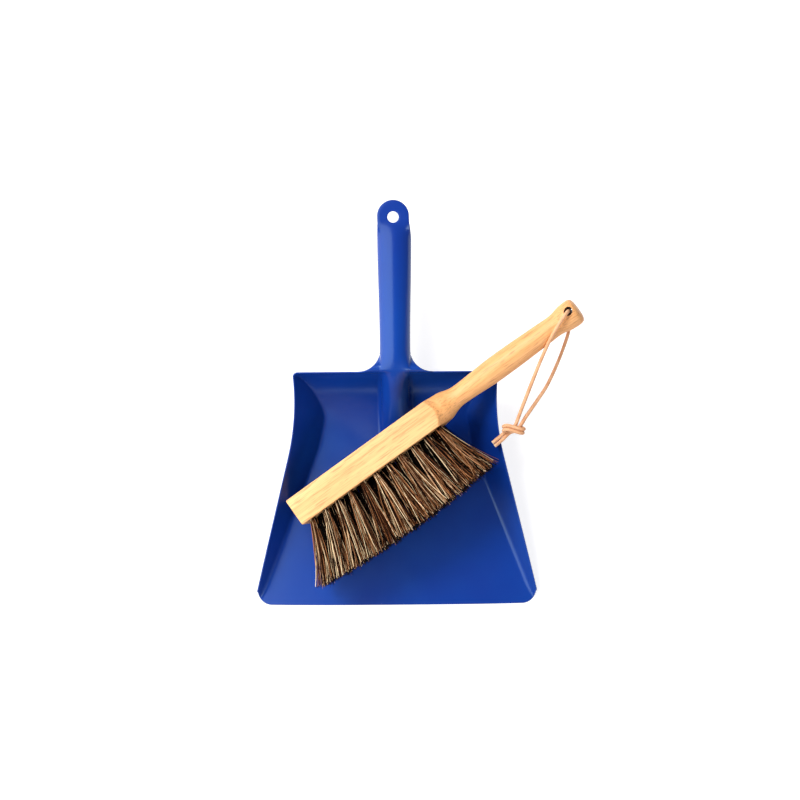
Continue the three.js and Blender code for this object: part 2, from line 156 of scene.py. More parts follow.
# Middle of each half of the thong, from the middle of the hanging hole to the cut end of its tail.
THONG_FRONT = [
    [118.9, 120.8, 57.2], [118, 120.8, 62.6], [117.1, 120.4, 67], [115.4, 118.3, 69.3],
    [112.8, 114.8, 68.9], [110, 110.3, 67.3], [106.8, 104.6, 64.4], [102.9, 96.6, 57.8],
    [98, 84.9, 50.3], [91.9, 69.3, 43.4], [86.5, 55.3, 38.8], [83.6, 47.6, 36.8],
    [81.9, 43.4, 35.6], [79.2, 41.9, 34.9], [76, 41.9, 34.5], [74.5, 42.2, 35.1],
    [73.9, 42.6, 36.4], [74.5, 43.1, 37.7], [76.6, 43.4, 38.3], [81, 42.3, 38.5],
    [85.2, 41, 38.2], [87.1, 40.7, 37.4], [87.9, 40.8, 35.8], [87.4, 41.3, 34.2],
    [86, 41.7, 33.1], [82.8, 42, 32.3], [79, 41.6, 32.2], [75.7, 39.6, 33.2],
    [72.2, 36.4, 34.2], [69.2, 33.9, 34.4], [66.2, 31.5, 34.3],
]
THONG_BACK = [
    [118.9, 120.8, 56.9], [119.9, 120.7, 51.8], [120.6, 120.4, 47.7], [120.7, 118.3, 45],
    [119.9, 113.9, 44.1], [118.6, 107.2, 42.8], [116.2, 99.2, 40.4], [111.1, 85.8, 36.6],
    [104.1, 70.9, 33.9], [96.9, 60, 33.2], [89.5, 49.5, 34.1], [86.3, 44.4, 34.9],
    [83.6, 41, 35.2], [79.5, 39.3, 34.9], [76, 39.2, 34.5], [74.5, 39.6, 35.1],
    [73.9, 40, 36.4], [74.5, 40.5, 37.7], [76.4, 40.8, 38.3], [80.2, 39.8, 38.5],
    [84.3, 38.5, 38.2], [86.3, 38.1, 37.4], [87.1, 38.2, 35.8], [86.7, 38.7, 34.2],
    [85.4, 39.1, 33.1], [82.6, 39.4, 32.3], [79.3, 38.9, 32.2], [76.8, 37.3, 33.1],
    [73.7, 34.2, 33.8], [70.7, 31.7, 34], [67.7, 29.3, 33.9],
]


# ---- camera --------------------------------------------------------------------------------------------

def add_camera():
    """Looks straight down from 2.5 m, with the pan turned a little anticlockwise in the picture."""
    data = bpy.data.cameras.new("camera")
    data.sensor_width = 36
    data.lens = 161.87
    data.clip_start = 0.01
    data.clip_end = 50
    camera = bpy.data.objects.new("camera", data)
    camera.location = Vector((3.1, 61.4, 2500)) * MM
    camera.rotation_euler = (0, 0, rad(-0.45))
    bpy.context.scene.collection.objects.link(camera)
    bpy.context.scene.camera = camera
    bpy.context.scene.view_settings.view_transform = "Standard"


# ---- numbers and meshes --------------------------------------------------------------------------------

def lerp(a, b, t):
    return a + (b - a) * t


def smoothstep(x, low, high):
    t = np.clip((x - low) / (high - low), 0, 1)
    return t * t * (3 - 2 * t)


def smooth_min(a, b, blend):
    """Smaller of two values, rounded over where they are within blend of each other."""
    share = np.clip(0.5 + 0.5 * (b - a) / blend, 0, 1)
    return lerp(b, a, share) - blend * share * (1 - share)


def smooth_max(a, b, blend):
    return -float(smooth_min(-a, -b, blend))


def through(points, x):
    """Smooth curve y(x) through [x, y] points, which keeps its end values beyond them."""
    last = len(points) - 1

    def slope(i):
        low = points[max(i - 1, 0)]
        high = points[min(i + 1, last)]
        return (high[1] - low[1]) / (high[0] - low[0])

    i = 0
    while i < last - 1 and x > points[i + 1][0]:
        i += 1
    x0, y0 = points[i]
    x1, y1 = points[i + 1]
    span = x1 - x0
    t = min(max((x - x0) / span, 0), 1)
    rise = y1 - y0
    leaving = slope(i) * span - rise
    arriving = slope(i + 1) * span - rise
    return y0 + rise * t + t * (1 - t) * ((1 - t) * leaving - t * arriving)


def smooth_path(points, step):
    """Catmull-Rom curve through points, as an array of points about step apart."""
    points = np.array(points, float)
    padded = np.vstack([2 * points[0] - points[1], points, 2 * points[-1] - points[-2]])
    path = []
    for a, b, c, d in zip(padded, padded[1:], padded[2:], padded[3:]):
        count = max(int(round(np.linalg.norm(c - b) / step)), 1)
        for t in np.arange(count) / count:
            path.append(0.5 * (2 * b + (c - a) * t + (2 * a - 5 * b + 4 * c - d) * t**2
                               + (3 * b - a - 3 * c + d) * t**3))
    path.append(points[-1])
    return np.array(path)


def make_piece(name, points, faces, material):
    """Smooth-shaded mesh object from points in millimetres."""
    mesh = bpy.data.meshes.new(name)
    mesh.from_pydata((np.asarray(points, float) * MM).tolist(), [], faces)
    mesh.polygons.foreach_set("use_smooth", [True] * len(mesh.polygons))
    mesh.materials.append(material)
    mesh.update()
    piece = bpy.data.objects.new(name, mesh)
    bpy.context.scene.collection.objects.link(piece)
    return piece


def ring_faces(rings, sides):
    """Faces between rings of points that follow each other, and the caps of the first and last ring."""
    faces = []
    for ring in range(rings - 1):
        for k in range(sides):
            a = ring * sides + k
            b = ring * sides + (k + 1) % sides
            faces.append((a, b, b + sides, a + sides))
    last = (rings - 1) * sides
    faces.append(tuple(range(sides - 1, -1, -1)))
    faces.append(tuple(range(last, last + sides)))
    return faces


def tube(path, radii, sides):
    """Points and faces of a capped, untwisted tube, with a ring of points for each point of its path."""
    path = np.asarray(path, float)
    tangents = np.gradient(path, axis=0)
    tangents /= np.linalg.norm(tangents, axis=1)[:, None]
    start = np.cross(tangents[0], [0.31, 0.17, 0.93])
    side = start / np.linalg.norm(start)
    angles = 2 * np.pi * np.arange(sides) / sides
    rings = []
    for point, tangent, radius in zip(path, tangents, radii):
        side = side - tangent * np.dot(side, tangent)
        side /= np.linalg.norm(side)
        other = np.cross(tangent, side)
        rings.append(point + radius * (np.cos(angles)[:, None] * side + np.sin(angles)[:, None] * other))
    return np.vstack(rings), ring_faces(len(path), sides)


# ---- material helpers ----------------------------------------------------------------------------------

def srgb(red, green, blue):
    """Linear colour of an sRGB one given as 0 to 255."""
    def linear(value):
        value /= 255
        return value / 12.92 if value <= 0.04045 else ((value + 0.055) / 1.055) ** 2.4
    return (linear(red), linear(green), linear(blue), 1)


class Shader:
    """A new node material and short ways to add nodes to it."""

    def __init__(self, name):
        self.material = bpy.data.materials.new(name)
        self.material.use_nodes = True
        self.tree = self.material.node_tree
        self.surface = self.tree.nodes["Principled BSDF"]

    def node(self, kind, **settings):
        node = self.tree.nodes.new(kind)
        for key, value in settings.items():
            setattr(node, key, value)
        return node

    def link(self, output, target):
        self.tree.links.new(output, target)

    def coordinates(self, scale):
        """Object coordinates, scaled along each axis."""
        place = self.node("ShaderNodeTexCoord")
        mapping = self.node("ShaderNodeMapping")
        mapping.inputs["Scale"].default_value = scale
        self.link(place.outputs["Object"], mapping.inputs["Vector"])
        return mapping.outputs["Vector"]

    def noise(self, scale, detail=3.0, roughness=0.5, distortion=0.0, stretch=(1, 1, 1)):
        texture = self.node("ShaderNodeTexNoise")
        texture.inputs["Scale"].default_value = scale
        texture.inputs["Detail"].default_value = detail
        texture.inputs["Roughness"].default_value = roughness
        texture.inputs["Distortion"].default_value = distortion
        self.link(self.coordinates(stretch), texture.inputs["Vector"])
        return texture.outputs["Fac"]

    def ramp(self, factor, stops):
        """Colour ramp with stops of (place, colour)."""
        node = self.node("ShaderNodeValToRGB")
        while len(node.color_ramp.elements) < len(stops):
            node.color_ramp.elements.new(0.5)
        for element, (place, colour) in zip(node.color_ramp.elements, stops):
            element.position = place
            element.color = colour
        self.link(factor, node.inputs["Fac"])
        return node.outputs["Color"]

    def span(self, factor, low, high, to_low, to_high):
        """The factor's range low to high, mapped to another one."""
        node = self.node("ShaderNodeMapRange")
        limits = {"From Min": low, "From Max": high, "To Min": to_low, "To Max": to_high}
        for socket, value in limits.items():
            node.inputs[socket].default_value = value
        self.link(factor, node.inputs["Value"])
        return node.outputs["Result"]

    def mix(self, factor, first, second):
        """Two colours mixed by a factor; each of the three is a socket or a value."""
        node = self.node("ShaderNodeMix", data_type="RGBA")
        colour_a, colour_b = node.inputs[6], node.inputs[7]
        for value, socket in ((factor, node.inputs[0]), (first, colour_a), (second, colour_b)):
            if hasattr(value, "is_linked"):
                self.link(value, socket)
            else:
                socket.default_value = value
        return node.outputs[2]

    def add(self, first, second, share):
        """first + share * second."""
        node = self.node("ShaderNodeMath", operation="MULTIPLY_ADD")
        self.link(second, node.inputs[0])
        node.inputs[1].default_value = share
        self.link(first, node.inputs[2])
        return node.outputs["Value"]

    def bump(self, height, distance):
        node = self.node("ShaderNodeBump")
        node.inputs["Distance"].default_value = distance * MM
        self.link(height, node.inputs["Height"])
        self.link(node.outputs["Normal"], self.surface.inputs["Normal"])

    def set(self, **values):
        for name, value in values.items():
            self.surface.inputs[name.replace("_", " ")].default_value = value


# ---- materials -----------------------------------------------------------------------------------------

def enamel_material():
    """Deep blue gloss coating, with a faint orange peel, slow waves in the sheet and slight wear."""
    shader = Shader("enamel")
    clouds = shader.noise(14, detail=4)
    colour = shader.ramp(clouds, [(0.3, srgb(14, 45, 130)), (0.7, srgb(9, 56, 142))])
    shader.link(colour, shader.surface.inputs["Base Color"])
    wear = shader.noise(60, detail=5)
    shader.link(shader.span(wear, 0.3, 0.75, 0.21, 0.265), shader.surface.inputs["Roughness"])
    peel = shader.noise(900, detail=1)
    waves = shader.noise(35, detail=1)
    shader.bump(shader.add(waves, peel, 0.012), 0.12)
    shader.set(IOR=1.46, Specular_Tint=(0.66, 0.96, 1, 1), Coat_Weight=0.06, Coat_Roughness=0.24)
    return shader.material


def beech_material():
    """Beech: soft bands, fine lines and short dark flecks along the grain, redder where it is turned."""
    shader = Shader("beech")
    bands = shader.noise(120, detail=4, roughness=0.6, distortion=0.4, stretch=(1, 0.05, 1))
    lines = shader.noise(900, detail=3, roughness=0.7, stretch=(1, 0.024, 1))
    flecks = shader.noise(1250, detail=1, stretch=(1, 0.07, 1))
    clouds = shader.noise(28, detail=2, stretch=(1, 0.4, 1))
    place = shader.node("ShaderNodeSeparateXYZ")
    shader.link(shader.coordinates((1, 1, 1)), place.inputs["Vector"])
    turned_part = shader.span(place.outputs["Y"], 0.106, 0.122, 0, 0.42)
    colour = shader.ramp(bands, [
        (0.36, srgb(218, 162, 102)), (0.5, srgb(226, 174, 112)), (0.66, srgb(231, 185, 126)),
    ])
    colour = shader.mix(turned_part, colour, srgb(234, 152, 84))
    colour = shader.mix(shader.span(lines, 0.49, 0.62, 0, 0.45), colour, srgb(188, 120, 66))
    colour = shader.mix(shader.span(flecks, 0.58, 0.67, 0, 0.45), colour, srgb(150, 90, 48))
    colour = shader.mix(shader.span(clouds, 0.35, 0.7, 0, 0.15), colour, srgb(232, 180, 124))
    shader.link(colour, shader.surface.inputs["Base Color"])
    shader.link(shader.span(lines, 0.3, 0.7, 0.42, 0.58), shader.surface.inputs["Roughness"])
    shader.bump(shader.add(lines, flecks, -0.8), 0.07)
    shader.set(IOR=1.45)
    return shader.material


def shaded_bore_material():
    """Inside of the drilled holes, painted dark as painted shade for the shadow in them."""
    shader = Shader("beech_bore_painted_shade")
    rings = shader.noise(900, detail=3, stretch=(1, 0.2, 1))
    # Painted shade: dark browns that stand in for the shadow inside the holes.
    colour = shader.ramp(rings, [(0.3, srgb(62, 36, 20)), (0.7, srgb(104, 64, 36))])
    shader.link(colour, shader.surface.inputs["Base Color"])
    shader.bump(rings, 0.1)
    shader.set(Roughness=0.8)
    return shader.material


def horsehair_material():
    """Mixed hair: each strand has its own tone, from dull black through brown to glossy blond."""
    shader = Shader("horsehair")
    # The tone attribute includes the painted shade of the middle and lower rows.
    tone = shader.node("ShaderNodeAttribute", attribute_name="tone").outputs["Fac"]
    streaks = shader.noise(240, detail=2, stretch=(0.25, 1, 1))
    tone = shader.add(tone, streaks, 0.12)
    colour = shader.ramp(tone, [
        (0.05, srgb(3, 2, 2)), (0.4, srgb(16, 9, 6)), (0.6, srgb(98, 54, 30)),
        (0.8, srgb(186, 120, 68)), (1.0, srgb(255, 226, 178)),
    ])
    shader.link(colour, shader.surface.inputs["Base Color"])
    shader.link(shader.span(streaks, 0.3, 0.7, 0.42, 0.58), shader.surface.inputs["Roughness"])
    shader.link(shader.span(tone, 0.6, 1, 0.04, 0.7), shader.surface.inputs["Specular IOR Level"])
    shader.set(IOR=1.5)
    return shader.material


def wire_material():
    """Drawn steel wire with fine marks along it."""
    shader = Shader("wire")
    marks = shader.noise(1500, detail=2, stretch=(1, 0.1, 1))
    colour = shader.ramp(marks, [(0.3, srgb(150, 150, 148)), (0.7, srgb(196, 195, 190))])
    shader.link(colour, shader.surface.inputs["Base Color"])
    shader.link(shader.span(marks, 0.3, 0.7, 0.25, 0.45), shader.surface.inputs["Roughness"])
    shader.bump(marks, 0.02)
    shader.set(Metallic=1.0)
    return shader.material


def leather_material():
    """Natural round leather: pale where it is cut, with fine grain, small creases and darker patches."""
    shader = Shader("leather")
    patches = shader.noise(130, detail=4)
    grain = shader.noise(1400, detail=3, roughness=0.6)
    cut = shader.node("ShaderNodeAttribute", attribute_name="cut").outputs["Fac"]
    colour = shader.ramp(patches, [
        (0.3, srgb(206, 147, 103)), (0.5, srgb(221, 167, 123)), (0.7, srgb(230, 181, 139)),
    ])
    colour = shader.mix(shader.span(grain, 0.45, 0.75, 0, 0.35), colour, srgb(196, 132, 92))
    colour = shader.mix(cut, colour, srgb(244, 222, 182))
    shader.link(colour, shader.surface.inputs["Base Color"])
    shader.link(shader.span(grain, 0.3, 0.7, 0.5, 0.68), shader.surface.inputs["Roughness"])
    shader.bump(grain, 0.08)
    shader.set(IOR=1.45)
    return shader.material


def floor_material():
    """White floor that glows a little, so that only the deepest shadows show on it."""
    shader = Shader("studio_floor")
    shader.set(Base_Color=(0.4, 0.4, 0.4, 1), Roughness=0.9)
    shader.set(Emission_Color=(1, 1, 1, 1), Emission_Strength=0.78)
    return shader.material


# ---- dustpan -------------------------------------------------------------------------------------------

def rim_half(y):
    """Half-width over the rim: straight, then a parabola with its narrowest place at the back."""
    if y < RIM_CURVE_Y:
        return FRONT_HALF - RIM_SLOPE * (y - FRONT_Y)
    span = RIM_NARROW_Y - RIM_CURVE_Y
    narrowest = FRONT_HALF - RIM_SLOPE * (RIM_CURVE_Y - FRONT_Y) - RIM_SLOPE * span / 2
    return narrowest + RIM_SLOPE / (2 * span) * (y - RIM_NARROW_Y) ** 2


def floor_height(y):
    """Height of the middle surface over the flat floor and up the curved back wall."""
    past = max(y - BEND_Y, 0)
    return HALF + BEND_RADIUS - math.sqrt(BEND_RADIUS**2 - past**2)


def rib_profile(across):
    """Height of the rib as a share of its ridge: a round top, and a small hollow fillet at its foot."""
    top = np.sqrt(np.clip(1 - across**2, 0, 1))
    foot = np.clip(RIB_FOOT - across, 0, 1) / (RIB_FOOT - RIB_ROUND)
    return np.where(across <= RIB_ROUND, top, math.sqrt(1 - RIB_ROUND**2) * foot**2)


# Columns of the middle strip, which goes on into the handle: the place across the rib, as a share of its
# half-width, and the angle round the handle's rolled section.
ROUND_ANGLE = math.asin(RIB_ROUND)
ACROSS = np.concatenate([
    np.sin(np.linspace(0, ROUND_ANGLE, 16)),
    [0.99, 1.03, 1.07, 1.12, 1.19, RIB_FOOT, 1.37, 1.5, 1.7, 1.9, 2.1, 2.3, 2.42, 2.49],
    [WING_HALF / RIB_HALF],
])
ANGLES = np.where(
    ACROSS <= RIB_ROUND,
    np.arcsin(np.minimum(ACROSS, RIB_ROUND)),
    np.interp(ACROSS, [RIB_ROUND, 1.03, RIB_FOOT, 1.7, WING_HALF / RIB_HALF],
              [ROUND_ANGLE, rad(88), rad(102), rad(118), rad(135)]),
)
TONGUE_COLUMNS = int(np.sum(ACROSS <= RIB_ROUND))


def strip_points(y):
    """Half of a section through the middle strip: the rib on the floor or on the back wall."""
    wall = floor_height(min(y, BACK_Y)) + WING_LIFT * (1 - math.exp(-max(y - BACK_Y, 0) / WING_BEND))
    ridge = wall if y < RIDGE[0][0] else smooth_max(through(RIDGE, y), wall, RIB_BLEND)
    return ACROSS * RIB_HALF, wall + rib_profile(ACROSS) * (ridge - wall)


def handle_points(y):
    """Half of a section through the handle, from the ridge outwards and round under the roll."""
    top = through(RIDGE, y)
    half = lerp(ROOT_HALF, END_HALF, smoothstep(y, ROOT_END_Y, WIDEST_Y))
    ears = lerp(1, EARS_LEFT, smoothstep(y, EARS_Y, EARS_END_Y))
    angles = np.where(ANGLES > ROUND_ANGLE, ROUND_ANGLE + (ANGLES - ROUND_ANGLE) * ears, ANGLES)
    x = half * np.sin(angles)
    z = top - ROLL_DEPTH * (1 - np.cos(angles))
    if y < ROOT_END_Y:
        share = smoothstep(y, BACK_Y + 2, ROOT_END_Y)
        wall_x, wall_z = strip_points(y)
        x = lerp(wall_x, x, share)
        z = lerp(wall_z, z, share)
        reach = min(max(ROOT_END_Y - y, 0), ROOT_RADIUS)
        outline = WING_HALF - math.sqrt(ROOT_RADIUS**2 - reach**2)
        inner = x[TONGUE_COLUMNS - 1]
        squeeze = (outline - inner) / (x.max() - inner)
        return np.where(x > inner, inner + (x - inner) * squeeze, x), z
    flat = smoothstep(y, FLATTEN_Y, FLAT_Y)
    curl = np.clip(1 - np.maximum(angles - ROUND_ANGLE, 0) / rad(45), 0, 1)
    inner_x = (TONGUE_HALF - HALF) * angles / ROUND_ANGLE
    flat_x = np.where(angles <= ROUND_ANGLE, inner_x, x - half * RIB_ROUND + TONGUE_HALF - HALF)
    return lerp(x, flat_x, flat), lerp(z, lerp(z, top, curl), flat)


def side_wall(y):
    """Foot and rim of the side wall in the section at y, as (x, z)."""
    rim = rim_half(y)
    foot = min(through(FOLD, y), rim - WALL_LEAST)
    return np.array([foot, floor_height(y)]), np.array([rim, through(RIM_HEIGHT, y)])


# Columns beside the middle strip, as shares of the flat part's width and of the side wall's height.
FLAT_COLUMNS = np.arange(1, 22) / 22
BEND_COLUMNS = 10
CLOSE_UP_X = WING_HALF + 10  # columns outside this close up where a rounded corner cuts the width
WALL_COLUMNS = [0.12, 0.25, 0.38, 0.5, 0.62, 0.74, 0.84, 0.92, 0.97, 1]


def side_points(y):
    """Half of a section through floor, fold and side wall, cut to the plan's rounded corners."""
    corner, rim = side_wall(y)
    fold, floor = corner
    slant = np.linalg.norm(rim - corner)
    lean = (rim - corner) / slant
    reach = min(through(FOLD_REACH, y), FOLD_SHARE * slant)
    start = np.array([fold - reach, floor])
    end = corner + lean * reach
    top = corner + lean * (slant - HALF)
    flat_part = [lerp(np.array([WING_HALF, floor]), start, t) for t in FLAT_COLUMNS]
    bends = np.linspace(0, 1, BEND_COLUMNS)[:, None]
    bend_part = (1 - bends) ** 2 * start + 2 * bends * (1 - bends) * corner + bends**2 * end
    wall_part = [lerp(end, top, t) for t in WALL_COLUMNS]
    points = np.vstack([flat_part, bend_part, wall_part])
    outline = corner_outline(y, rim[0])
    if outline < points[-1, 0]:
        x = points[:, 0]
        beyond = x - CLOSE_UP_X
        squeezed = np.where(beyond > 0, CLOSE_UP_X + beyond * (outline - CLOSE_UP_X) / beyond[-1], x)
        z = np.interp(squeezed, x, points[:, 1])
        if y > BACK_CENTRE[1]:
            z += back_corner_lift(y, z[-1]) * np.clip(1 - (outline - squeezed) / CORNER_REACH, 0, 1) ** 2
        return squeezed, z
    return points[:, 0], points[:, 1]


def back_corner_lift(y, height):
    """Lift of the edge at this height that takes it round the back corner without a dip at the fold."""
    share = (y - BACK_CENTRE[1]) / (BACK_CORNER - BACK_INSET)
    level = lerp(through(RIM_HEIGHT, y) - HALF, floor_height(BACK_EDGE_Y), share)
    return max(level - height, 0)


def corner_centres():
    """Plan centres of the front and back corners' arcs, as (x, y)."""
    flare = math.atan(RIM_SLOPE)
    front_x = rim_half(FRONT_Y + FRONT_CORNER) - FRONT_CORNER / math.cos(flare)
    back_flare = math.atan(RIM_SLOPE * (BACK_Y - RIM_NARROW_Y) / (RIM_NARROW_Y - RIM_CURVE_Y))
    back_x = rim_half(BACK_Y - BACK_CORNER) - BACK_CORNER / math.cos(back_flare)
    return (front_x, FRONT_Y + FRONT_CORNER), (back_x, BACK_Y - BACK_CORNER)


FRONT_CENTRE, BACK_CENTRE = corner_centres()
BACK_INSET = HALF * math.sqrt(BEND_RADIUS**2 - (BACK_Y - BEND_Y) ** 2) / BEND_RADIUS
BACK_EDGE_Y = BACK_CENTRE[1] + BACK_CORNER - BACK_INSET


def corner_outline(y, rim):
    """Half-width of the sheet in plan, less half its thickness for the rounded edge."""
    if y < FRONT_CENTRE[1]:
        radius = FRONT_CORNER - HALF
        return FRONT_CENTRE[0] + math.sqrt(max(radius**2 - (y - FRONT_CENTRE[1]) ** 2, 0))
    if y > BACK_CENTRE[1]:
        radius = BACK_CORNER - BACK_INSET
        return BACK_CENTRE[0] + math.sqrt(max(radius**2 - (y - BACK_CENTRE[1]) ** 2, 0))
    return rim


def pan_rows():
    """Rows along Y, close together in curves: over the whole width, the middle strip and the flat end."""
    corner = FRONT_CENTRE[1] - (FRONT_CORNER - HALF) * np.cos(np.linspace(0, rad(90), 12))
    floor = np.linspace(FRONT_CENTRE[1], BEND_Y, 40)[1:]
    bend_end = math.asin((BACK_CENTRE[1] - BEND_Y) / BEND_RADIUS)
    curve = BEND_Y + BEND_RADIUS * np.sin(np.linspace(0, bend_end, 44)[1:])
    back = BACK_CENTRE[1] + (BACK_CORNER - BACK_INSET) * np.sin(np.linspace(0, rad(90), 9)[1:])
    first = back[-1]
    root = first + (ROOT_END_Y - first) * (1 - np.cos(np.linspace(0, rad(90), 18)[1:]))
    handle = np.linspace(ROOT_END_Y, FLATTEN_Y, 22)[1:]
    ears = np.linspace(FLATTEN_Y, EARS_END_Y, 19)[1:]
    tongue = np.array([EARS_END_Y + 0.3])
    full = np.concatenate([corner, floor, curve, back])
    return full, np.concatenate([root, handle, ears]), tongue


def plan_place(x, y):
    """A middle surface point's place in plan, with the front edge's bow and the flat end's lean."""
    corner_share = min(abs(x) / FRONT_HALF, 1) ** 3
    bow = FRONT_BOW * (1 - corner_share) * (1 - smoothstep(y, FRONT_Y, FRONT_Y + FRONT_BOW_LENGTH))
    return x - TONGUE_LEAN * smoothstep(y, FLATTEN_Y, FLAT_Y + 4), y - bow


def tongue_height(x, y):
    row_x, row_z = handle_points(y)
    return float(np.interp(abs(x), row_x[:TONGUE_COLUMNS], row_z[:TONGUE_COLUMNS]))


def pan_surface():
    """Middle surface of the pan as points and quads."""
    full, strip, tongue = pan_rows()
    points = []
    rows = []

    def add_row(y, x, z, side_columns):
        """Adds a row and its mirror image; side_columns stay empty beside a row of the middle strip."""
        count = len(x)
        right = []
        for k in range(count):
            points.append((*plan_place(x[k], y), z[k]))
            right.append(len(points) - 1)
        left = []
        for k in range(count - 1, 0, -1):
            points.append((*plan_place(-x[k], y), z[k]))
            left.append(len(points) - 1)
        blank = [None] * side_columns
        rows.append(blank + left + right + blank)

    side_count = len(side_points(0)[0])
    for y in full:
        middle_x, middle_z = strip_points(y)
        side_x, side_z = side_points(y)
        add_row(y, np.concatenate([middle_x, side_x]), np.concatenate([middle_z, side_z]), 0)
    for y in strip:
        x, z = handle_points(y)
        add_row(y, x, z, side_count)
    for y in tongue:
        x, z = handle_points(y)
        edge = side_count + len(ACROSS) - TONGUE_COLUMNS
        add_row(y, x[:TONGUE_COLUMNS], z[:TONGUE_COLUMNS], edge)

    faces = []
    for near, far in zip(rows, rows[1:]):
        for k in range(len(near) - 1):
            quad = (near[k], near[k + 1], far[k + 1], far[k])
            if None not in quad:
                faces.append(quad)
    add_tongue_end(points, faces, [k for k in rows[-1] if k is not None])
    return np.array(points), faces


HOLE_RINGS = (0.3, 0.58, 0.82, 1.0)  # places of the rings between the outline and the hook hole


def add_tongue_end(points, faces, row):
    """Round end with the hook hole, as rings from the handle's last row and the outline to the hole."""
    radius = TONGUE_HALF - HALF
    last_y = points[row[0]][1]
    sides = np.linspace(last_y, TONGUE_Y, 6)[1:]
    turns = np.linspace(0, np.pi, 33)[1:-1]
    arc = [(radius * math.cos(turn), TONGUE_Y + radius * math.sin(turn)) for turn in turns]
    outline = [(radius, y) for y in sides] + arc + [(-radius, y) for y in sides[::-1]]
    outer = list(row)
    for x, y in outline:
        points.append((*plan_place(x, y), tongue_height(x, y)))
        outer.append(len(points) - 1)
    rings = [outer]
    hole = HOOK_RADIUS + HALF
    middle = np.array([-TONGUE_LEAN, HOOK_Y])
    for share in HOLE_RINGS:
        ring = []
        for k in outer:
            from_hole = np.array(points[k][:2]) - middle
            distance = np.linalg.norm(from_hole)
            x, y = middle + from_hole * lerp(distance, hole, share) / distance
            points.append((x, y, tongue_height(x, y)))
            ring.append(len(points) - 1)
        rings.append(ring)
    for near, far in zip(rings, rings[1:]):
        for k in range(len(near)):
            after = (k + 1) % len(near)
            faces.append((near[k], near[after], far[after], far[k]))


EDGE_ANGLES = [rad(60), rad(30), 0, rad(-30), rad(-60)]  # rings round the sheet's half-round edge


def thicken(points, faces):
    """Closed sheet of the pan's thickness around a middle surface, with half-round edges."""
    normals = np.zeros_like(points)
    quads = np.array(faces)
    corners = points[quads]
    face_normals = np.cross(corners[:, 2] - corners[:, 0], corners[:, 3] - corners[:, 1])
    for k in range(4):
        np.add.at(normals, quads[:, k], face_normals)
    normals /= np.linalg.norm(normals, axis=1)[:, None]

    count = len(points)
    sheet = [points + normals * HALF, points - normals * HALF]
    skin = [tuple(face) for face in faces]
    skin += [tuple(k + count for k in reversed(face)) for face in faces]

    edges = {(face[k], face[(k + 1) % 4]) for face in faces for k in range(4)}
    border = [(a, b) for a, b in edges if (b, a) not in edges]
    border.sort()
    outward = {}
    for a, b in border:
        way = points[b] - points[a]
        for k in (a, b):
            side = np.cross(way, normals[k])
            outward[k] = outward.get(k, 0) + side / max(np.linalg.norm(side), 1e-9)
    order = sorted(outward)
    place = {k: i for i, k in enumerate(order)}
    rings = []
    for angle in EDGE_ANGLES:
        ring = []
        for k in order:
            side = outward[k] / max(np.linalg.norm(outward[k]), 1e-9)
            ring.append(points[k] + HALF * (math.cos(angle) * side + math.sin(angle) * normals[k]))
        rings.append(np.array(ring))

    def border_index(level, k):
        if level == 0:
            return k
        if level == len(rings) + 1:
            return k + count
        return 2 * count + (level - 1) * len(order) + place[k]

    for a, b in border:
        for level in range(len(rings) + 1):
            skin.append((
                border_index(level, b), border_index(level, a),
                border_index(level + 1, a), border_index(level + 1, b),
            ))
    return np.vstack(sheet + rings), skin


def add_pan(material):
    points, faces = thicken(*pan_surface())
    pan = make_piece("pan_pressing", points, faces, material)
    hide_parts("pan_shell")
    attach(pan, "dustpan")


# ---- brush ---------------------------------------------------------------------------------------------

def brush_matrix():
    """Place of the brush's own frame, in metres."""
    across = Vector((math.sin(HEADING), -math.cos(HEADING), 0))
    level = math.cos(PITCH)
    along = Vector((math.cos(HEADING) * level, math.sin(HEADING) * level, math.sin(PITCH)))
    bristles = Matrix.Rotation(-ROLL, 3, along) @ across
    depth = bristles.cross(along)
    turn = Matrix((bristles, along, depth)).transposed().to_4x4()
    return Matrix.Translation(BLOCK_END * MM) @ turn


def add_to_brush(piece, node):
    piece.matrix_world = brush_matrix()
    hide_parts(node)
    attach(piece, "brush")


def tuft_places():
    """Every tuft, with its node's name, its hole and the middle of its tips."""
    places = []
    for row, (depth, count, tip_depth) in TUFT_ROWS.items():
        shift = 0.5 if count < LONG_ROW else 0
        for i in range(count):
            step = i + shift
            bulge = TIP_BULGE * (1 - (2 * step / (LONG_ROW - 1) - 1) ** 2)
            places.append({
                "name": f"{row}_{i + 1:02d}",
                "hole": (TUFT_FIRST_Y + TUFT_PITCH * step, depth),
                "tip": (TIP_X + bulge, TIP_FIRST_Y + TIP_PITCH * step, tip_depth),
            })
    return places


SIDE_COLUMNS = 38  # columns on each side of the block
COLUMN_EASE = 0.8  # how much closer together they are at its edges
EDGE_BLEND = 1.4  # rounds the block's long edges
SHOULDER_BLEND = 0.5  # and the edge between the block and the turned shoulder
FAR = 60  # beyond the block in every direction
EASED_END = [(0, 0.7), (0.06, 0.42), (0.2, 0.2), (0.42, 0.06), (0.7, 0)]  # (y, easing) of the first rows
SHOULDER_ROWS_Y = (106, 126)  # rows are closest together between these
DOME_Y = 236  # rows over the handle's domed end are the outline's own


def stock_angles():
    """Directions round the stock's axis, close together at the block's four edges."""
    half = STOCK_DEPTH / 2
    corners = [
        math.atan2(-half, STOCK_HIGH_X), math.atan2(half, STOCK_HIGH_X), math.atan2(half, STOCK_LOW_X),
        math.atan2(-half, STOCK_LOW_X) + 2 * math.pi, math.atan2(-half, STOCK_HIGH_X) + 2 * math.pi,
    ]
    angles = []
    for low, high in zip(corners, corners[1:]):
        t = np.arange(SIDE_COLUMNS) / SIDE_COLUMNS
        angles.append(low + (high - low) * lerp(t, (1 - np.cos(np.pi * t)) / 2, COLUMN_EASE))
    return np.concatenate(angles)


